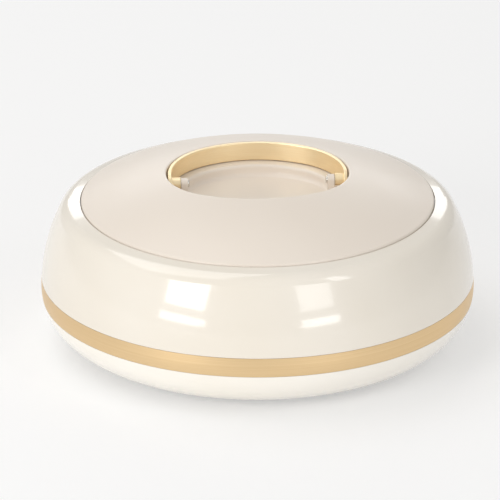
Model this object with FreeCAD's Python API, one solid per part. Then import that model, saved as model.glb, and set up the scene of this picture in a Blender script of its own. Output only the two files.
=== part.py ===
"""Insulated chapati casserole: a round two-shell body with a steel bowl, a domed lid that lifts off,
and a strap bail that folds back into an oval finger pocket in the lid. Millimetres, +Z up, base at zero."""

import FreeCAD
import Part

import math
import os

# Body: overall form
body_radius = 143.0
belly_height = 38.0
seam_height = 96.4
shoulder_arc_radius = 110.0
base_gap = 4.0
body_wall = 2.5

# Rim ring and the well that the lid drops into
rim_inset = 26.2
rim_slope_deg = 14.6
rim_round_radius = 12.0
well_depth = 8.0
ledge_width = 5.6

# Foot ring, ribs and filling hole under the base
foot_inset = 45.0
foot_width = 5.0
foot_round = 1.6
rib_count = 12
rib_thickness = 1.6
rib_height = 1.8
rib_inner_radius = 22.0
fill_hole_radius = 8.0
fill_boss_wall = 3.0
plug_flange_radius = 10.5
plug_flange_thickness = 1.2
plug_depth = 6.0

# Trim band and the joint of the two shells
band_below_belly = 6.7
band_above_belly = 6.5
band_thickness = 1.0
band_reveal = 0.2
tongue_thickness = 1.5
tongue_height = 7.0
tongue_root_depth = 5.0

# Steel bowl
bowl_taper = 7.0
bowl_depth = 75.6
bowl_corner_radius = 24.0
bowl_lip_round = 3.0
steel_thickness = 0.8

# Lid shell
lid_wall = 2.4
lid_edge_lift = 1.2
dome_rise = 24.9
lid_edge_round = 1.5
skirt_wall = 2.4

# Finger pocket in the lid
pocket_half_length = 60.0
pocket_half_width = 51.0
pocket_end_fullness = 3.4
pocket_mouth_round = 1.2
pocket_ledge_width = 10.0
pocket_ledge_round = 1.8
pocket_well_depth = 5.5
pocket_well_round = 3.2

# Strap bail and its pivots
strap_width = 12.4
strap_thickness = 2.4
strap_edge_round = 0.5
bail_fold_deg = 3.2
pivot_below_apex = 13.5
pin_radius = 1.5
pin_head_radius = 2.6
pin_head_thickness = 1.2
pin_head_round = 0.96
pin_seat_depth = 5.0
pin_tail_clearance = 0.4
hub_radius = 4.0
post_thickness = 4.4
post_radius = 3.6
boss_radius = 4.4

# Lid liner
liner_thickness = 1.8
liner_drop = 5.0
liner_crown = 2.4
liner_round = 3.0

# Clearances
lid_gap = 0.7
lid_seat_gap = 0.2
bowl_edge_gap = 0.6
bowl_ledge_gap = 0.2
liner_bowl_gap = 1.2
liner_skirt_gap = 0.2
tongue_gap = 0.1
foam_gap = 0.25
strap_wall_gap = 1.0
strap_ledge_gap = 0.6
hub_post_gap = 0.4
pin_running_gap = 0.06
pin_seat_gap = 0.02
plug_gap = 0.1

# How far cutting tools run past the faces they cut, and how closely edges are matched
over_run = 1.0
match_tolerance = 0.05
fine_tolerance = 0.01

# Heights and radii worked out from the sizes above
belly_arc_radius = belly_height - base_gap
rim_opening_radius = body_radius - rim_inset
foot_radius = body_radius - foot_inset
band_bottom = belly_height - band_below_belly
band_top = belly_height + band_above_belly
ledge_height = seam_height - well_depth
ledge_inner_radius = rim_opening_radius - ledge_width
bowl_top_radius = ledge_inner_radius - bowl_ledge_gap - bowl_lip_round - steel_thickness
flange_height = ledge_height + steel_thickness
bowl_floor = flange_height - bowl_depth
skirt_bottom = flange_height + lid_seat_gap
lid_radius = rim_opening_radius - lid_gap
lid_edge_height = seam_height + lid_edge_lift
apex_height = lid_edge_height + dome_rise
dome_radius = (lid_radius ** 2 + dome_rise ** 2) / (2 * dome_rise)
dome_centre_height = apex_height - dome_radius
pivot_height = apex_height - pivot_below_apex
strap_half_width = strap_width / 2
ledge_drop = strap_half_width + strap_ledge_gap
pocket_well_floor = pivot_height - ledge_drop - pocket_well_depth
strap_outer_inset = strap_wall_gap
strap_inner_inset = strap_wall_gap + strap_thickness
strap_inner_reach = pocket_half_length - strap_inner_inset
post_outer = pocket_half_length - pocket_ledge_width + hub_post_gap
post_inner = post_outer - post_thickness
hub_inner = post_outer + hub_post_gap
pin_end = pocket_half_length + lid_wall + pin_seat_depth
foot_inner_radius = foot_radius - foot_width
liner_rim_radius = lid_radius - skirt_wall - liner_skirt_gap
liner_plug_radius = bowl_top_radius - liner_bowl_gap
sky = apex_height + dome_rise
reach = 2 * body_radius

ORIGIN = FreeCAD.Vector(0, 0, 0)
X_AXIS = FreeCAD.Vector(1, 0, 0)
Z_AXIS = FreeCAD.Vector(0, 0, 1)


def half_plane_point(radius, height):
    return FreeCAD.Vector(radius, 0, height)


def line(start, end):
    return Part.makeLine(half_plane_point(*start), half_plane_point(*end))


def arc_about(centre, radius, start, end):
    """Arc about a centre in the half plane, by the short way from one point to another."""
    first = math.atan2(start[1] - centre[1], start[0] - centre[0])
    last = math.atan2(end[1] - centre[1], end[0] - centre[0])
    middle = (first + last) / 2
    waypoint = (centre[0] + radius * math.cos(middle), centre[1] + radius * math.sin(middle))
    return Part.Arc(half_plane_point(*start), half_plane_point(*waypoint), half_plane_point(*end)).toShape()


def revolve(edges):
    """Solid of revolution about Z of a closed outline in the half plane."""
    face = Part.Face(Part.Wire(edges))
    return face.revolve(ORIGIN, Z_AXIS, 360)


def polygon_ring(points):
    corners = list(points) + [points[0]]
    return revolve([line(a, b) for a, b in zip(corners, corners[1:])])


def ring(inner, outer, bottom, top):
    """Plain ring, or a disc where the inner radius is zero."""
    return polygon_ring([(inner, bottom), (outer, bottom), (outer, top), (inner, top)])


def circular_edges(shape, radius, height):
    """Horizontal circular edges of one radius at one height."""
    found = []
    for edge in shape.Edges:
        if edge.Degenerated or not isinstance(edge.Curve, Part.Circle):
            continue
        if abs(edge.Curve.Radius - radius) > match_tolerance:
            continue
        if abs(edge.Curve.Center.z - height) < match_tolerance:
            found.append(edge)
    return found


def edges_in_box(shape, low, high):
    """Edges whose whole bounding box lies between two corners."""
    found = []
    for edge in shape.Edges:
        box = edge.BoundBox
        inside_low = box.XMin > low[0] and box.YMin > low[1] and box.ZMin > low[2]
        inside_high = box.XMax < high[0] and box.YMax < high[1] and box.ZMax < high[2]
        if inside_low and inside_high:
            found.append(edge)
    return found


# Body envelope: the outer form, drawn again at any inset from the surface
shoulder_centre = (body_radius - shoulder_arc_radius, belly_height)
belly_centre = (body_radius - belly_arc_radius, belly_height)
rim_slope = math.radians(rim_slope_deg)
rim_direction = (math.cos(rim_slope), -math.sin(rim_slope))
rim_normal = (math.sin(rim_slope), math.cos(rim_slope))


def rim_round_centre():
    """Centre of the arc that rounds the rim ring's slope into the shoulder arc."""
    start = (rim_opening_radius - rim_normal[0] * rim_round_radius,
             seam_height - rim_normal[1] * rim_round_radius)
    away = (start[0] - shoulder_centre[0], start[1] - shoulder_centre[1])
    along = away[0] * rim_direction[0] + away[1] * rim_direction[1]
    excess = away[0] ** 2 + away[1] ** 2 - (shoulder_arc_radius - rim_round_radius) ** 2
    travel = -along + math.sqrt(along ** 2 - excess)
    return (start[0] + rim_direction[0] * travel, start[1] + rim_direction[1] * travel)


def body_envelope(inset):
    """Solid inside the body's outer surface, kept a constant distance in from it."""
    base = base_gap + inset
    waist = (body_radius - inset, belly_height)
    belly_foot = (belly_centre[0], base)
    round_centre = rim_round_centre()
    spread = math.hypot(round_centre[0] - shoulder_centre[0], round_centre[1] - shoulder_centre[1])
    outward = ((round_centre[0] - shoulder_centre[0]) / spread,
               (round_centre[1] - shoulder_centre[1]) / spread)
    round_radius = rim_round_radius - inset
    shoulder_end = (round_centre[0] + outward[0] * round_radius,
                    round_centre[1] + outward[1] * round_radius)
    slope_start = (round_centre[0] + rim_normal[0] * round_radius,
                   round_centre[1] + rim_normal[1] * round_radius)
    back = (slope_start[0] - ledge_inner_radius) / rim_direction[0]
    slope_end = (ledge_inner_radius, slope_start[1] - rim_direction[1] * back)
    return revolve([
        line((0, base), belly_foot),
        arc_about(belly_centre, belly_arc_radius - inset, belly_foot, waist),
        arc_about(shoulder_centre, shoulder_arc_radius - inset, waist, shoulder_end),
        arc_about(round_centre, round_radius, shoulder_end, slope_start),
        line(slope_start, slope_end),
        line(slope_end, (0, slope_end[1])),
        line((0, slope_end[1]), (0, base)),
    ])


def rim_well_block():
    """Material of the rim's inner wall and ledge, as a block that the cavity has to leave standing."""
    return ring(ledge_inner_radius, rim_opening_radius + body_wall, ledge_height - body_wall, sky)


def tongue(grown):
    """Ring that stands up from the base shell inside the shoulder shell's skirt."""
    outer = body_envelope(body_wall + tongue_gap - grown)
    inner = body_envelope(body_wall + tongue_gap + tongue_thickness + grown)
    height_band = ring(0, reach, belly_height - tongue_root_depth - grown,
                       belly_height + tongue_height + grown)
    return outer.cut(inner).common(height_band)


def band_zone(reveal):
    return ring(0, reach, band_bottom + reveal, band_top - reveal)


def band_groove():
    return ring(0, reach, band_bottom, band_top).cut(body_envelope(band_thickness))


def shoulder_shell():
    hollow = body_envelope(body_wall).cut(rim_well_block())
    shell = body_envelope(0).cut(hollow)
    shell = shell.cut(ring(0, rim_opening_radius, ledge_height, sky))
    shell = shell.cut(ring(0, ledge_inner_radius, 0, sky))
    return shell.cut(ring(0, reach, 0, belly_height)).cut(band_groove())


def base_rib(index):
    rib = Part.makeBox(foot_inner_radius - rib_inner_radius + over_run, rib_thickness, rib_height + over_run,
                       FreeCAD.Vector(rib_inner_radius, -rib_thickness / 2, base_gap - rib_height))
    rib.rotate(ORIGIN, Z_AXIS, index * 360.0 / rib_count)
    return rib


def base_shell():
    shell = body_envelope(0).cut(body_envelope(body_wall))
    shell = shell.common(ring(0, reach, 0, belly_height))
    foot = ring(foot_inner_radius, foot_radius, 0, base_gap + body_wall / 2)
    foot_edges = circular_edges(foot, foot_radius, 0) + circular_edges(foot, foot_inner_radius, 0)
    foot = foot.makeFillet(foot_round, foot_edges)
    root = body_envelope(body_wall / 2).cut(body_envelope(body_wall + tongue_gap + tongue_thickness))
    root = root.common(ring(0, reach, belly_height - tongue_root_depth, belly_height))
    boss = ring(0, fill_hole_radius + fill_boss_wall, base_gap, base_gap + plug_depth)
    shell = shell.fuse([foot, root, tongue(0), boss] + [base_rib(index) for index in range(rib_count)])
    shell = shell.cut(ring(0, fill_hole_radius, -over_run, base_gap + plug_depth + over_run))
    shell = shell.cut(ring(0, plug_flange_radius + plug_gap, -over_run, base_gap + plug_flange_thickness))
    return shell.cut(band_groove()).removeSplitter()


def base_fill_plug():
    stem = ring(0, fill_hole_radius - plug_gap, base_gap + plug_flange_thickness, base_gap + plug_depth)
    flange = ring(0, plug_flange_radius, base_gap, base_gap + plug_flange_thickness)
    return stem.fuse(flange).removeSplitter()


def trim_band():
    return body_envelope(0).cut(body_envelope(band_thickness)).common(band_zone(band_reveal))


def rounded_path(points, radii):
    """Edges of an open path of straight runs, with a round at each inner point."""
    edges = []
    start = points[0]
    for before, corner, after, radius in zip(points, points[1:], points[2:], radii):
        run_in = (before[0] - corner[0], before[1] - corner[1])
        run_out = (after[0] - corner[0], after[1] - corner[1])
        length_in = math.hypot(*run_in)
        length_out = math.hypot(*run_out)
        unit_in = (run_in[0] / length_in, run_in[1] / length_in)
        unit_out = (run_out[0] / length_out, run_out[1] / length_out)
        half_angle = math.acos(unit_in[0] * unit_out[0] + unit_in[1] * unit_out[1]) / 2
        setback = radius / math.tan(half_angle)
        to_centre = radius / math.sin(half_angle)
        bisector = (unit_in[0] + unit_out[0], unit_in[1] + unit_out[1])
        scale = 1 / math.hypot(*bisector)
        waypoint = (corner[0] + bisector[0] * scale * (to_centre - radius),
                    corner[1] + bisector[1] * scale * (to_centre - radius))
        tangent_in = (corner[0] + unit_in[0] * setback, corner[1] + unit_in[1] * setback)
        tangent_out = (corner[0] + unit_out[0] * setback, corner[1] + unit_out[1] * setback)
        edges.append(line(start, tangent_in))
        edges.append(Part.Arc(half_plane_point(*tangent_in), half_plane_point(*waypoint),
                              half_plane_point(*tangent_out)).toShape())
        start = tangent_out
    edges.append(line(start, points[-1]))
    return edges


def offset_path(points, distance):
    """The path moved sideways, to the right of its direction of travel, with its corners mitred."""
    moved = []
    for index, point in enumerate(points):
        normals = []
        if index > 0:
            normals.append(right_normal(points[index - 1], point))
        if index < len(points) - 1:
            normals.append(right_normal(point, points[index + 1]))
        total = (sum(n[0] for n in normals), sum(n[1] for n in normals))
        projection = total[0] * normals[0][0] + total[1] * normals[0][1]
        scale = distance / projection
        moved.append((point[0] + total[0] * scale, point[1] + total[1] * scale))
    return moved


def right_normal(start, end):
    run = (end[0] - start[0], end[1] - start[1])
    length = math.hypot(*run)
    return (run[1] / length, -run[0] / length)


def bowl_path():
    """Inside of the bowl, from the middle of its floor to the end of its flange."""
    return [
        (0, bowl_floor),
        (bowl_top_radius - bowl_taper, bowl_floor),
        (bowl_top_radius, flange_height),
        (rim_opening_radius - bowl_edge_gap, flange_height),
    ]


def steel_bowl():
    inside = bowl_path()
    outside = offset_path(inside, steel_thickness)
    edges = rounded_path(inside, [bowl_corner_radius, bowl_lip_round + steel_thickness])
    edges.append(line(inside[-1], outside[-1]))
    edges += reversed(rounded_path(outside, [bowl_corner_radius + steel_thickness, bowl_lip_round]))
    edges.append(line(outside[0], inside[0]))
    return revolve(edges)


def bowl_block(grown):
    """Everything the bowl takes up, filled in to the axis, for the foam to leave clear."""
    outside = offset_path(bowl_path(), steel_thickness + grown)
    edges = rounded_path(outside, [bowl_corner_radius + steel_thickness + grown, bowl_lip_round - grown])
    edges.append(line(outside[-1], (outside[-1][0], sky)))
    edges.append(line((outside[-1][0], sky), (0, sky)))
    edges.append(line((0, sky), outside[0]))
    return revolve(edges)


def body_foam():
    over_ledge = ring(0, rim_opening_radius + body_wall + foam_gap, ledge_height - body_wall - foam_gap, sky)
    foam = body_envelope(body_wall + foam_gap).cut(over_ledge)
    foam = foam.cut(bowl_block(foam_gap)).cut(tongue(foam_gap))
    boss = ring(0, fill_hole_radius + fill_boss_wall + foam_gap, 0, base_gap + plug_depth + foam_gap)
    return foam.cut(boss)


def lid_envelope(inset):
    """Solid under the dome and inside the skirt, kept a constant distance in from the surface."""
    radius = lid_radius - inset
    sphere = dome_radius - inset
    shoulder_height = dome_centre_height + math.sqrt(sphere ** 2 - radius ** 2)
    top = (0, dome_centre_height + sphere)
    edge = (radius, shoulder_height)
    return revolve([
        arc_about((0, dome_centre_height), sphere, top, edge),
        line(edge, (radius, skirt_bottom)),
        line((radius, skirt_bottom), (0, skirt_bottom)),
        line((0, skirt_bottom), top),
    ])


def oval_wire(inset, height):
    """Oval of four tangent arcs, each kept a constant distance in from the pocket's wall."""
    half_length = pocket_half_length - inset
    half_width = pocket_half_width - inset
    end_radius = half_width - pocket_end_fullness
    end_centre = half_length - end_radius
    long_radius = (half_width ** 2 + end_centre ** 2 - end_radius ** 2) / (2 * pocket_end_fullness)
    angle = math.atan2(long_radius - half_width, end_centre)
    joint = (end_centre + end_radius * math.cos(angle), end_radius * math.sin(angle))
    corners = [(joint[0], -joint[1]), (joint[0], joint[1]), (-joint[0], joint[1]), (-joint[0], -joint[1])]
    middles = [(half_length, 0), (0, half_width), (-half_length, 0), (0, -half_width)]
    edges = []
    for index, middle in enumerate(middles):
        start = corners[index]
        end = corners[(index + 1) % len(corners)]
        edges.append(Part.Arc(FreeCAD.Vector(start[0], start[1], height), FreeCAD.Vector(*middle, height),
                              FreeCAD.Vector(end[0], end[1], height)).toShape())
    return Part.Wire(edges)


def oval_prism(inset, bottom, top):
    return Part.Face(oval_wire(inset, bottom)).extrude(Z_AXIS * (top - bottom))


def tilt_with_bail(shape):
    """Turn a piece about the pivot axis by the angle at which the folded bail lies."""
    turned = shape.copy()
    turned.rotate(FreeCAD.Vector(0, 0, pivot_height), X_AXIS, bail_fold_deg)
    return turned


def under_ledge(drop):
    """Everything below the ledge: level in front of the pivots, tilted with the bail behind them."""
    level = Part.makeBox(2 * reach, 2 * reach, reach,
                         FreeCAD.Vector(-reach, -reach, pivot_height - drop - reach))
    return level.fuse(tilt_with_bail(level))


def pocket_block(grown):
    """The finger pocket: the space over the ledge and the well inside it."""
    well_bottom = pocket_well_floor - grown
    well_inset = pocket_ledge_width - grown
    well = oval_prism(well_inset, well_bottom, sky)
    floor_edges = edges_in_box(well, (-reach, -reach, well_bottom - over_run),
                               (reach, reach, well_bottom + over_run))
    well = well.makeFillet(pocket_well_round + grown, floor_edges)
    upper = oval_prism(-grown, pocket_well_floor, sky).cut(under_ledge(ledge_drop + grown))
    return upper.fuse(well)


def cylinder_along_x(radius, start, end):
    """Cylinder about the pivot axis."""
    low = min(start, end)
    return Part.makeCylinder(radius, abs(end - start), FreeCAD.Vector(low, 0, pivot_height), X_AXIS)


def hinge_post(side):
    """Round-topped post that stands in the well beside the bail's hub."""
    low = min(side * post_inner, side * post_outer)
    stem = Part.makeBox(post_thickness, 2 * post_radius, pivot_height - pocket_well_floor + lid_wall / 2,
                        FreeCAD.Vector(low, -post_radius, pocket_well_floor - lid_wall / 2))
    return stem.fuse(cylinder_along_x(post_radius, side * post_inner, side * post_outer))


def pin_boss(side, grown):
    end = pin_end + pin_tail_clearance + lid_wall / 2 + grown
    return cylinder_along_x(boss_radius + grown, side * (pocket_half_length + lid_wall / 2), side * end)


def lid_shell():
    outer = lid_envelope(0)
    outer = outer.makeFillet(lid_edge_round, circular_edges(outer, lid_radius, lid_edge_height))
    hollow = lid_envelope(lid_wall).cut(pocket_block(lid_wall))
    hollow = hollow.fuse(ring(0, lid_radius - skirt_wall, skirt_bottom - over_run,
                             skirt_bottom + liner_thickness))
    shell = outer.cut(pocket_block(0)).cut(hollow)
    shell = shell.makeFillet(pocket_mouth_round, pocket_mouth_edges(shell))
    shell = shell.makeFillet(pocket_ledge_round, pocket_ledge_edges(shell))
    for side in (-1, 1):
        shell = shell.fuse([hinge_post(side), pin_boss(side, 0)])
        pin_hole_end = side * (pin_end + pin_tail_clearance)
        shell = shell.cut(cylinder_along_x(pin_radius + pin_seat_gap, 0, pin_hole_end))
    return shell.removeSplitter()


def pocket_mouth_edges(shell):
    """Edges where the pocket's wall meets the dome."""
    lowest = lid_edge_height + dome_rise / 2
    return [edge for edge in shell.Edges
            if edge.BoundBox.ZMin > lowest and on_oval(edge, 0) and on_dome(edge)]


def pocket_ledge_edges(shell):
    """Edges where the ledge drops into the well."""
    ledge_level = pivot_height - ledge_drop
    return [edge for edge in shell.Edges
            if edge.BoundBox.ZMin > ledge_level - pocket_ledge_round and on_oval(edge, pocket_ledge_width)]


def middle_of(edge):
    return edge.valueAt((edge.FirstParameter + edge.LastParameter) / 2)


def on_dome(edge):
    point = middle_of(edge)
    distance = math.sqrt(point.x ** 2 + point.y ** 2 + (point.z - dome_centre_height) ** 2)
    return abs(distance - dome_radius) < fine_tolerance


def on_oval(edge, inset):
    """Whether an edge's middle lies on the oval at this inset, seen from above."""
    point = middle_of(edge)
    probe = Part.Vertex(FreeCAD.Vector(point.x, point.y, 0))
    return oval_wire(inset, 0).distToShape(probe)[0] < fine_tolerance


def bail_strap():
    outer = oval_prism(strap_outer_inset, pivot_height - strap_half_width, pivot_height + strap_half_width)
    inner = oval_prism(strap_inner_inset, pivot_height - strap_width, pivot_height + strap_width)
    hoop = outer.cut(inner)
    eyes = cylinder_along_x(strap_half_width, -reach, reach)
    back = Part.makeBox(2 * reach, reach, 2 * reach, FreeCAD.Vector(-reach, 0, pivot_height - reach))
    strap = hoop.common(back.fuse(eyes)).removeSplitter()
    long_edges = [edge for edge in strap.Edges if edge.Length > 2 * strap_thickness]
    strap = strap.makeFillet(strap_edge_round, long_edges)
    hub_outer = strap_inner_reach + strap_thickness / 2
    for side in (-1, 1):
        strap = strap.fuse(cylinder_along_x(hub_radius, side * hub_inner, side * hub_outer))
    strap = strap.cut(cylinder_along_x(pin_radius + pin_running_gap, -reach, reach))
    return tilt_with_bail(strap.removeSplitter())


def pivot_pin(side):
    """Pin with a low round head against the inner face of its post."""
    shank = cylinder_along_x(pin_radius, side * post_inner, side * pin_end)
    head = cylinder_along_x(pin_head_radius, side * (post_inner - pin_head_thickness), side * post_inner)
    rim = [edge for edge in head.Edges if isinstance(edge.Curve, Part.Circle)
           and abs(abs(edge.Curve.Center.x) - post_inner) > match_tolerance]
    return shank.fuse(head.makeFillet(pin_head_round, rim)).removeSplitter()


def liner_path():
    """Under side of the liner, from its middle to the end of its rim."""
    floor = skirt_bottom - liner_drop
    return [
        (0, floor + liner_crown),
        (liner_plug_radius, floor),
        (liner_plug_radius, skirt_bottom),
        (liner_rim_radius, skirt_bottom),
    ]


def lid_liner():
    under = liner_path()
    over = offset_path(under, -liner_thickness)
    edges = rounded_path(under, [liner_round + liner_thickness, liner_round / 2])
    edges.append(line(under[-1], over[-1]))
    edges += reversed(rounded_path(over, [liner_round, liner_round / 2 + liner_thickness]))
    edges.append(line(over[0], under[0]))
    return revolve(edges)


def liner_block(grown):
    """Everything under the liner's upper side, for the lid's foam to leave clear."""
    over = offset_path(liner_path(), -liner_thickness - grown)
    edges = rounded_path(over, [liner_round - grown, liner_round / 2 + liner_thickness + grown])
    edges.append(line(over[-1], (reach, over[-1][1])))
    edges.append(line((reach, over[-1][1]), (reach, 0)))
    edges.append(line((reach, 0), (0, 0)))
    edges.append(line((0, 0), over[0]))
    return revolve(edges)


def lid_foam():
    core = ring(0, lid_radius - lid_wall - foam_gap, 0, sky)
    foam = lid_envelope(lid_wall + foam_gap)
    lower = ring(0, lid_radius - lid_wall - foam_gap, skirt_bottom - liner_drop,
                 skirt_bottom + liner_thickness)
    foam = foam.fuse(lower).common(core).cut(liner_block(foam_gap))
    foam = foam.cut(pocket_block(lid_wall + foam_gap))
    for side in (-1, 1):
        foam = foam.cut(pin_boss(side, foam_gap))
    return foam.removeSplitter()


def save(name, shape):
    if not shape.isValid():
        raise ValueError("the shape of " + name + " is not valid")
    solids = shape.Solids
    result = solids[0] if len(solids) == 1 else Part.makeCompound(solids)
    result.exportStep("parts/" + name + ".step")
    box = shape.BoundBox
    print(name, len(solids), "solid", round(shape.Volume), "mm3",
          round(box.XLength, 1), round(box.YLength, 1), round(box.ZMin, 1), round(box.ZMax, 1))


os.makedirs("parts", exist_ok=True)
save("base_shell", base_shell())
save("shoulder_shell", shoulder_shell())
save("trim_band", trim_band())
save("steel_bowl", steel_bowl())
save("body_foam", body_foam())
save("base_fill_plug", base_fill_plug())
save("lid_shell", lid_shell())
save("lid_foam", lid_foam())
save("lid_liner", lid_liner())
save("bail_strap", bail_strap())
save("pivot_pin_left", pivot_pin(-1))
save("pivot_pin_right", pivot_pin(1))
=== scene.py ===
# %% [markdown]
# An insulated chapati casserole, dressed for the camera.
# The solids come from the CAD model and stay where they are. Blender gives them their finishes, adds the
# small moulding marks that a real one has, and sets up the studio.

# %% Load the fixed frame
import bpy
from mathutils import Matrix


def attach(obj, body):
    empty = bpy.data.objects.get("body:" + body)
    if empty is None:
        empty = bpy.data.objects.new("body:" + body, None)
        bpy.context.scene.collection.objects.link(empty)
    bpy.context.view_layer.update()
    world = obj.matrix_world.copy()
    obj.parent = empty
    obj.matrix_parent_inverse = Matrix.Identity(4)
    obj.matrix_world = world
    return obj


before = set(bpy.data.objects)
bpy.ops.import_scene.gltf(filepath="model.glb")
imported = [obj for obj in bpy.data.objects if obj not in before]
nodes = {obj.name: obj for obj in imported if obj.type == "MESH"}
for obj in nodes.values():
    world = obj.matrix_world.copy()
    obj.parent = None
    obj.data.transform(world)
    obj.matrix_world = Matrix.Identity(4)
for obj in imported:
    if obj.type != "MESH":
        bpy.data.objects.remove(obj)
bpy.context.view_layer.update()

import math
import bpy
from mathutils import Matrix, Vector

print("CAD pieces:", ", ".join(sorted(nodes)))

# %% [markdown]
# Shader nodes are easier to read as sums than as a web of wires. This small class holds one socket of a
# node tree. Its operators add the Math or Vector Math node that does the sum, and they also work when a
# plain number comes first, as in 2 * height.

# %% A socket that can be added, multiplied and raised to a power
class Wire:
    def __init__(self, tree, socket):
        self.tree, self.socket = tree, socket

    def maths(self, operation, *others, swap=False):
        vector = self.socket.type == "VECTOR"
        kind = "ShaderNodeVectorMath" if vector else "ShaderNodeMath"
        values = [self, *others]
        if swap:
            values.reverse()
        if vector:
            values = [(v, v, v) if isinstance(v, (int, float)) else v for v in values]
        return self.tree.add(kind, {"operation": operation}, dict(enumerate(values)))

    def __add__(self, other): return self.maths("ADD", other)
    def __radd__(self, other): return self.maths("ADD", other, swap=True)
    def __mul__(self, other): return self.maths("MULTIPLY", other)
    def __rmul__(self, other): return self.maths("MULTIPLY", other, swap=True)
    def __pow__(self, other): return self.maths("POWER", other)


print("wires ready")

# %% [markdown]
# A finish is a node tree. One method adds any node: its type, its settings first, because they decide
# which sockets it has, and then the values or wires of its sockets.

# %% A finish and its one way to add a node
class Finish:
    def __init__(self, name, **constants):
        self.material = bpy.data.materials.new(name)
        self.material.use_nodes = True
        self.tree = self.material.node_tree
        self.shader = self.tree.nodes["Principled BSDF"]
        for socket, value in constants.items():
            self.shader.inputs[socket.replace("_", " ")].default_value = value

    def add(self, kind, settings=None, inputs=None, output=0):
        node = self.tree.nodes.new(kind)
        for setting, value in (settings or {}).items():
            setattr(node, setting, value)
        for socket, value in (inputs or {}).items():
            self.feed(node.inputs[socket], value)
        return Wire(self, node.outputs[output])

    def feed(self, socket, value):
        if isinstance(value, Wire):
            self.tree.links.new(value.socket, socket)
        else:
            socket.default_value = value

    def give(self, socket, value):
        self.feed(self.shader.inputs[socket], value)

    def place(self, scale=(1, 1, 1), turn=(0, 0, 0), shift=(0, 0, 0)):
        where = self.add("ShaderNodeTexCoord", output="Object")
        return self.add("ShaderNodeMapping", inputs={"Vector": where, "Scale": scale, "Rotation": turn,
                                                     "Location": shift})

    def noise(self, vector, scale, detail=3.0, rough=0.5):
        return self.add("ShaderNodeTexNoise", inputs={"Vector": vector, "Scale": scale, "Detail": detail,
                                                      "Roughness": rough})

    def ramp(self, value, low, high):
        """Takes the stretch low[0] to high[0] to the stretch low[1] to high[1]."""
        return self.add("ShaderNodeMapRange", {"clamp": True},
                        {"Value": value, "From Min": low[0], "From Max": high[0],
                         "To Min": low[1], "To Max": high[1]})

    def blend(self, factor, first, second):
        """Mixes two colours; a Mix node keeps its colour sockets at 6, 7 and 2."""
        return self.add("ShaderNodeMix", {"data_type": "RGBA"},
                        {"Factor": factor, 6: first, 7: second}, output=2)

    def bump(self, height, strength, distance, base=None):
        inputs = {"Height": height, "Strength": strength, "Distance": distance}
        if base is not None:
            inputs["Normal"] = base
        return self.add("ShaderNodeBump", inputs=inputs)


def rgb(red, green, blue):
    """A colour as it is seen on screen, 0 to 255, turned into the linear light that shaders want."""
    linear = [((c / 255 + 0.055) / 1.055) ** 2.4 if c > 10 else c / 255 / 12.92 for c in (red, green, blue)]
    return (*linear, 1.0)


print("a light cream in linear light:", [round(c, 3) for c in rgb(240, 233, 221)[:3]])

# %% [markdown]
# The body is polished, injection-moulded plastic. Up close it is never quite even: the melt leaves broad,
# faint clouds of colour, the surface has the slight orange peel of a polished mould, and handling leaves
# hairline scuffs that show only as a change of gloss. All of that is noise at three scales. The lower
# shell is painted a shade whiter: painted light for the brightness the floor bounces up onto it.

# %% Gloss cream for the two body shells
def gloss_plastic(name, colour_deep, colour_light):
    gloss = Finish(name, Specular_IOR_Level=0.5, Coat_Roughness=0.04, Coat_IOR=1.5)
    clouds = gloss.noise(gloss.place(), 9.0, 2.0)
    lightness = gloss.ramp(clouds, (0.35, 0.0), (0.65, 1.0))
    gloss.give("Base Color", gloss.blend(lightness, colour_deep, colour_light))
    scuffs = gloss.noise(gloss.place((1, 1, 9)), 120.0, 4.0, 0.6)
    gloss.give("Roughness", gloss.ramp(scuffs, (0.45, 0.13), (0.8, 0.24)))
    gloss.give("Coat Weight", gloss.ramp(clouds, (0.3, 0.45), (0.7, 0.6)))
    peel = gloss.noise(gloss.place(), 260.0, 2.0)
    gloss.give("Normal", gloss.bump(peel, 0.05, 0.0004))
    print("made", name)
    return gloss


shoulder_cream = gloss_plastic("shoulder_cream", rgb(236, 228, 214), rgb(240, 233, 221))
# The lower shell's whiter cream is painted light, standing in for the light the floor bounces onto it.
base_cream_painted_bounce = gloss_plastic("base_cream_painted_bounce", rgb(249, 244, 234), rgb(252, 248, 240))

# %% [markdown]
# The lid is the same plastic from a mould with a satin etch: its reflections are soft, and very fine
# grain breaks up the light. It is a little greyer than the body.

# %% Satin cream for the lid
satin_cream = Finish("satin_cream", Specular_IOR_Level=0.5, Coat_Roughness=0.25)
lid_clouds = satin_cream.noise(satin_cream.place(), 7.0, 2.0)
satin_cream.give("Base Color", satin_cream.blend(satin_cream.ramp(lid_clouds, (0.35, 0.0), (0.65, 1.0)),
                                                 rgb(233, 222, 209), rgb(237, 227, 215)))
etch = satin_cream.noise(satin_cream.place(), 2600.0, 2.0)
wear = satin_cream.noise(satin_cream.place(), 45.0, 4.0, 0.6)
satin_cream.give("Roughness", satin_cream.ramp(wear, (0.3, 0.36), (0.75, 0.46)))
satin_cream.give("Normal", satin_cream.bump(etch, 0.06, 0.0001))
satin_cream.give("Coat Weight", 0.12)
print("made", satin_cream.material.name)
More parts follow.
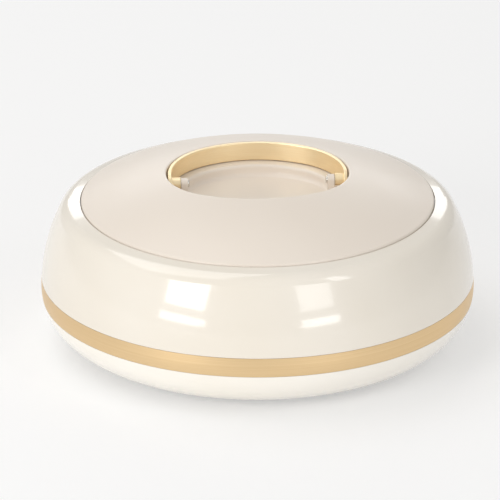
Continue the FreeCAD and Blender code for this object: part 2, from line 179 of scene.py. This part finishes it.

# %% [markdown]
# The band and the strap are plated in pale gold with a fine circular grain, the kind that a turning
# polishing mop leaves. The grain follows the piece, so its noise is read from the angle and the height
# instead of from X, Y and Z: long in the direction of turning and short across it. The strap is painted
# a shade lighter than the band, as painted light that makes up for the shade it sits in down in the pocket.

# %% Pale gold with a mopped grain
def mopped_gold(name, colour_low, colour_high):
    gold = Finish(name, Metallic=1.0, Anisotropic=0.35, Anisotropic_Rotation=0.25)
    point = gold.add("ShaderNodeSeparateXYZ", inputs={0: gold.place()})
    east, north, up = (Wire(gold, point.socket.node.outputs[axis]) for axis in "XYZ")
    bearing = gold.add("ShaderNodeMath", {"operation": "ARCTAN2"}, {0: north, 1: east})
    along = gold.add("ShaderNodeCombineXYZ", inputs={"X": bearing * 0.6, "Y": up * 900.0,
                                                     "Z": (east * east + north * north) ** 0.5 * 300.0})
    grain = gold.noise(along, 1.6, 4.0, 0.65)
    gold.give("Base Color", gold.blend(gold.ramp(grain, (0.3, 0.0), (0.7, 1.0)), colour_low, colour_high))
    gold.give("Roughness", gold.ramp(grain, (0.3, 0.38), (0.7, 0.48)))
    gold.give("Normal", gold.bump(grain, 0.05, 0.0002))
    print("made", name)
    return gold


band_gold = mopped_gold("band_gold", rgb(226, 196, 150), rgb(234, 206, 162))
# The strap's lighter gold is painted light, lifting it out of the shade of the pocket it sits in.
strap_gold_painted_light = mopped_gold("strap_gold_painted_light", rgb(250, 228, 186), rgb(254, 236, 198))

# %% [markdown]
# The bowl is pressed from stainless sheet and polished on a lathe, so its grain runs in rings round the
# bowl's axis. The pins are turned bar and get the same idea at a smaller scale.

# %% Spun steel for the bowl and turned steel for the pins
def ringed_steel(name, ring_scale, colour_low, colour_high, rough_low, rough_high):
    steel = Finish(name, Metallic=1.0)
    parts = steel.add("ShaderNodeSeparateXYZ", inputs={0: steel.place()})
    x, y, z = (Wire(steel, parts.socket.node.outputs[axis]) for axis in "XYZ")
    radius = (x * x + y * y) ** 0.5
    bearing = steel.add("ShaderNodeMath", {"operation": "ARCTAN2"}, {0: y, 1: x})
    rings = steel.add("ShaderNodeCombineXYZ", inputs={"X": radius * ring_scale, "Y": z * ring_scale,
                                                      "Z": bearing * 0.4})
    lines = steel.noise(rings, 1.0, 4.0, 0.7)
    steel.give("Base Color", steel.blend(steel.ramp(lines, (0.3, 0.0), (0.7, 1.0)), colour_low, colour_high))
    steel.give("Roughness", steel.ramp(lines, (0.3, rough_low), (0.7, rough_high)))
    steel.give("Normal", steel.bump(lines, 0.08, 0.0002))
    print("made", name)
    return steel


spun_steel = ringed_steel("spun_steel", 900.0, rgb(196, 193, 188), rgb(212, 210, 206), 0.22, 0.34)
turned_steel = ringed_steel("turned_steel", 2500.0, rgb(200, 196, 188), rgb(226, 223, 216), 0.18, 0.3)

# %% [markdown]
# Blown foam fills both walls. It shows only where a real one is cut open, as an ochre mass of small
# closed cells. Voronoi cells give the bubbles, and noise stains the colour.

# %% Rigid foam for the two cores
foam = Finish("rigid_foam", Specular_IOR_Level=0.2)
cells = foam.add("ShaderNodeTexVoronoi", inputs={"Vector": foam.place(), "Scale": 900.0})
stain = foam.noise(foam.place(), 30.0, 3.0)
foam.give("Base Color", foam.blend(stain, rgb(232, 214, 168), rgb(214, 190, 138)))
foam.give("Roughness", foam.ramp(cells, (0.0, 0.95), (0.5, 0.75)))
foam.give("Normal", foam.bump(cells, 0.4, 0.0004))
print("made", foam.material.name)

# %% [markdown]
# The lid's underside and the filling plug are plain moulded plastic straight from a spark-eroded mould:
# an even, fine pebble that looks matt.

# %% Matt cream for the liner and the plug
matt_cream = Finish("matt_cream", Specular_IOR_Level=0.4)
pebble = matt_cream.noise(matt_cream.place(), 1500.0, 3.0, 0.6)
haze = matt_cream.noise(matt_cream.place(), 12.0, 2.0)
matt_cream.give("Base Color", matt_cream.blend(matt_cream.ramp(haze, (0.35, 0.0), (0.65, 1.0)),
                                               rgb(236, 228, 214), rgb(241, 234, 222)))
matt_cream.give("Roughness", matt_cream.ramp(pebble, (0.3, 0.5), (0.7, 0.68)))
matt_cream.give("Normal", matt_cream.bump(pebble, 0.12, 0.0001))
print("made", matt_cream.material.name)

# %% [markdown]
# Each CAD piece keeps its mesh and takes one of these finishes in its own material slot.

# %% Dress the CAD pieces
finish_of = {
    "base_shell": base_cream_painted_bounce, "shoulder_shell": shoulder_cream, "trim_band": band_gold,
    "steel_bowl": spun_steel, "body_foam": foam, "base_fill_plug": matt_cream,
    "lid_shell": satin_cream, "lid_foam": foam, "lid_liner": matt_cream,
    "bail_strap": strap_gold_painted_light, "pivot_pin_left": turned_steel, "pivot_pin_right": turned_steel,
}
for name, finish in finish_of.items():
    for slot in nodes[name].material_slots:
        slot.material = finish.material
print("dressed", len(finish_of), "CAD pieces")

# %% [markdown]
# Under the base, between the ribs, a moulded shell shows the faint round witnesses of the pins that push
# it out of the mould. They repeat round the axis at even steps, so a Geometry Nodes tree makes them:
# a circle of points, one low disc on each, then real faces with a material.

# %% A tree that sets discs round the axis
def socket_id(tree, name):
    return next(item.identifier for item in tree.interface.items_tree
                if item.item_type == "SOCKET" and item.name == name)


def disc_ring_tree(material):
    tree = bpy.data.node_groups.new("pin_witness_ring", "GeometryNodeTree")
    tree.interface.new_socket("Geometry", in_out="OUTPUT", socket_type="NodeSocketGeometry")
    for label in ("Ring radius", "Disc radius", "Disc height", "Height", "First angle"):
        tree.interface.new_socket(label, in_out="INPUT", socket_type="NodeSocketFloat")
    tree.interface.new_socket("Count", in_out="INPUT", socket_type="NodeSocketInt")
    def add(kind, **values):
        node = tree.nodes.new(kind)
        for socket, value in values.items():
            node.inputs[socket.replace("_", " ")].default_value = value
        return node
    def join(source, output, target, socket):
        tree.links.new(source.outputs[output], target.inputs[socket])
    given, result = add("NodeGroupInput"), add("NodeGroupOutput")
    circle = add("GeometryNodeMeshCircle")
    join(given, "Ring radius", circle, "Radius"); join(given, "Count", circle, "Vertices")
    lift, turn = add("ShaderNodeCombineXYZ"), add("ShaderNodeCombineXYZ")
    join(given, "Height", lift, "Z"); join(given, "First angle", turn, "Z")
    moved = add("GeometryNodeTransform")
    join(circle, "Mesh", moved, "Geometry")
    join(lift, "Vector", moved, "Translation"); join(turn, "Vector", moved, "Rotation")
    disc = add("GeometryNodeMeshCylinder", Vertices=32)
    join(given, "Disc radius", disc, "Radius"); join(given, "Disc height", disc, "Depth")
    copies, real = add("GeometryNodeInstanceOnPoints"), add("GeometryNodeRealizeInstances")
    coat = add("GeometryNodeSetMaterial")
    join(moved, "Geometry", copies, "Points"); join(disc, "Mesh", copies, "Instance")
    join(copies, "Instances", real, "Geometry"); join(real, "Geometry", coat, "Geometry")
    coat.inputs["Material"].default_value = material
    join(coat, "Geometry", result, "Geometry")
    return tree


witness_tree = disc_ring_tree(base_cream_painted_bounce.material)
print("tree with", len(witness_tree.nodes), "nodes")

# %% [markdown]
# The tree is only a recipe. A modifier runs it, and the result is kept as a plain mesh, which is what
# the object takes with it.

# %% Run the tree and keep its mesh
def bake_tree(name, tree, **sizes):
    blank = bpy.data.objects.new(name + "_recipe", bpy.data.meshes.new(name + "_recipe"))
    bpy.context.collection.objects.link(blank)
    modifier = blank.modifiers.new("recipe", "NODES")
    modifier.node_group = tree
    for label, value in sizes.items():
        modifier[socket_id(tree, label.replace("_", " "))] = value
    ready = blank.evaluated_get(bpy.context.evaluated_depsgraph_get())
    mesh = bpy.data.meshes.new_from_object(ready)
    blank.modifiers.clear()
    bpy.data.objects.remove(blank)
    piece = bpy.data.objects.new(name, mesh)
    bpy.context.collection.objects.link(piece)
    print(name, "has", len(mesh.polygons), "faces")
    return piece


under_face = 0.004
witnesses = bake_tree("base_pin_witnesses", witness_tree, Ring_radius=0.058, Disc_radius=0.0032,
                      Disc_height=0.0004, Height=under_face, First_angle=math.radians(15), Count=12)
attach(witnesses, "body")

# %% [markdown]
# The studio is a white sweep. The floor takes the casserole's shadow and is otherwise as bright as the
# page, which Light Path's Is Camera Ray gives without any more light on the object.

# %% Floor and backdrop
def stage_material(name, lit, plain):
    """White for the camera and for reflections, mixed with a lit surface that keeps the shadow."""
    material = bpy.data.materials.new(name)
    material.use_nodes = True
    tree = material.node_tree
    tree.nodes.clear()
    output = tree.nodes.new("ShaderNodeOutputMaterial")
    mix = tree.nodes.new("ShaderNodeMixShader")
    diffuse = tree.nodes.new("ShaderNodeBsdfDiffuse")
    glow = tree.nodes.new("ShaderNodeEmission")
    path = tree.nodes.new("ShaderNodeLightPath")
    seen = tree.nodes.new("ShaderNodeMath")
    share = tree.nodes.new("ShaderNodeMath")
    seen.operation, share.operation, seen.use_clamp = "ADD", "MULTIPLY", True
    diffuse.inputs["Color"].default_value = (lit, lit, lit, 1)
    glow.inputs["Strength"].default_value = 1.0
    share.inputs[1].default_value = plain
    tree.links.new(path.outputs["Is Camera Ray"], seen.inputs[0])
    tree.links.new(path.outputs["Is Glossy Ray"], seen.inputs[1])
    tree.links.new(seen.outputs[0], share.inputs[0])
    tree.links.new(share.outputs[0], mix.inputs["Fac"])
    tree.links.new(diffuse.outputs[0], mix.inputs[1])
    tree.links.new(glow.outputs[0], mix.inputs[2])
    tree.links.new(mix.outputs[0], output.inputs["Surface"])
    return material


def sheet_of_points(name, corners, material):
    mesh = bpy.data.meshes.new(name)
    mesh.from_pydata(corners, [], [list(range(len(corners)))])
    mesh.materials.append(material)
    thing = bpy.data.objects.new(name, mesh)
    bpy.context.collection.objects.link(thing)
    return thing


half = 12.0
floor_lit, floor_plain = 0.98, 0.38
floor = sheet_of_points("floor", [(-half, -half, 0), (half, -half, 0), (half, half, 0), (-half, half, 0)],
                        stage_material("floor_white", floor_lit, floor_plain))
print("floor", 2 * half, "m across")

# %% [markdown]
# The world is the white room around the casserole: pure white to the camera, gentler as a light.

# %% The white room
glossy_share = 0.5
world = bpy.data.worlds.new("white_room")
bpy.context.scene.world = world
world.use_nodes = True
room = world.node_tree
room.nodes.clear()
room_out = room.nodes.new("ShaderNodeOutputWorld")
room_mix = room.nodes.new("ShaderNodeMixShader")
room_path = room.nodes.new("ShaderNodeLightPath")
room_light = room.nodes.new("ShaderNodeBackground")
room_seen = room.nodes.new("ShaderNodeBackground")
room_light.inputs["Color"].default_value = (1.0, 0.99, 0.975, 1)
room_light.inputs["Strength"].default_value = 0.45
room_seen.inputs["Strength"].default_value = 1.0
room_bright = room.nodes.new("ShaderNodeMath")
room_bright.operation, room_bright.use_clamp = "MULTIPLY_ADD", True
room_bright.inputs[1].default_value = glossy_share
room.links.new(room_path.outputs["Is Glossy Ray"], room_bright.inputs[0])
room.links.new(room_path.outputs["Is Camera Ray"], room_bright.inputs[2])
room.links.new(room_bright.outputs[0], room_mix.inputs["Fac"])
room.links.new(room_light.outputs[0], room_mix.inputs[1])
room.links.new(room_seen.outputs[0], room_mix.inputs[2])
room.links.new(room_mix.outputs[0], room_out.inputs["Surface"])
print("room light", room_light.inputs["Strength"].default_value)

# %% [markdown]
# The camera stands a good three metres off with a long lens, a little above the table. The aim puts the
# middle of the lid's seam where the photograph has it.

# %% Camera
camera_azimuth, camera_elevation, camera_distance = math.radians(-4.4), math.radians(22.4), 3.15
lens, sensor, picture = 345.0, 36.0, 500
seam_middle, seam_pixel = Vector((0, 0, 0.0964)), (257.6, 199.2)
toward = Vector((math.sin(camera_azimuth) * math.cos(camera_elevation),
                 -math.cos(camera_azimuth) * math.cos(camera_elevation), math.sin(camera_elevation)))
right = Vector((math.cos(camera_azimuth), math.sin(camera_azimuth), 0))
above = toward.cross(right)
per_pixel = camera_distance * sensor / lens / picture
pixels_right, pixels_up = seam_pixel[0] - picture / 2, picture / 2 - seam_pixel[1]
target = seam_middle - right * pixels_right * per_pixel - above * pixels_up * per_pixel
camera_data = bpy.data.cameras.new("camera")
camera_data.lens, camera_data.sensor_width = lens, sensor
camera = bpy.data.objects.new("camera", camera_data)
camera_turn = Matrix((right, above, toward)).transposed().to_4x4()
camera.matrix_world = Matrix.Translation(target + toward * camera_distance) @ camera_turn
bpy.context.collection.objects.link(camera)
bpy.context.scene.camera = camera
print("one pixel is", round(1000 * per_pixel, 3), "mm at the casserole")

# %% [markdown]
# Two upright soft boxes stand in front, left and right, and show as the two window-like shapes on the
# glossy wall. A low strip lies under each. A broad panel overhead gives the even light on the lid, and a
# low one behind gives the far side of the lid its soft shine.

# %% Lamps
def panel(name, azimuth, elevation, distance, width, height, power, tint=(1, 1, 1), aim=(0, 0, 0.06)):
    """An upright rectangle of light, at an angle from the camera's own direction."""
    bearing_angle, rise = camera_azimuth + math.radians(azimuth), math.radians(elevation)
    place = Vector(aim) + distance * Vector((math.sin(bearing_angle) * math.cos(rise),
                                             -math.cos(bearing_angle) * math.cos(rise), math.sin(rise)))
    lamp = bpy.data.lights.new(name, "AREA")
    lamp.shape, lamp.size, lamp.size_y, lamp.energy, lamp.color = "RECTANGLE", width, height, power, tint
    thing = bpy.data.objects.new(name, lamp)
    facing = (Vector(aim) - place).to_track_quat("-Z", "Y").to_matrix().to_4x4()
    thing.matrix_world = Matrix.Translation(place) @ facing
    bpy.context.collection.objects.link(thing)
    print(name, [round(v, 2) for v in place])
    return thing


panel("left_box", -38.5, 22, 2.0, 0.76, 0.66, 10)
panel("left_strip", -38.5, 5, 2.0, 0.86, 0.17, 2.6)
panel("right_box", 31, 22, 2.0, 0.62, 0.64, 3.2)
panel("right_strip", 32, 5, 2.0, 0.70, 0.17, 2.0)
panel("overhead", -110, 66, 2.4, 2.2, 1.6, 18)
panel("right_fill", 52, 42, 2.4, 0.35, 0.9, 3.2)
panel("back_soft", 180, 20, 2.4, 1.8, 0.6, 7)

# %% [markdown]
# The picture is shown as it is lit, with the plain Standard view.

# %% View
bpy.context.scene.view_settings.view_transform = "Standard"
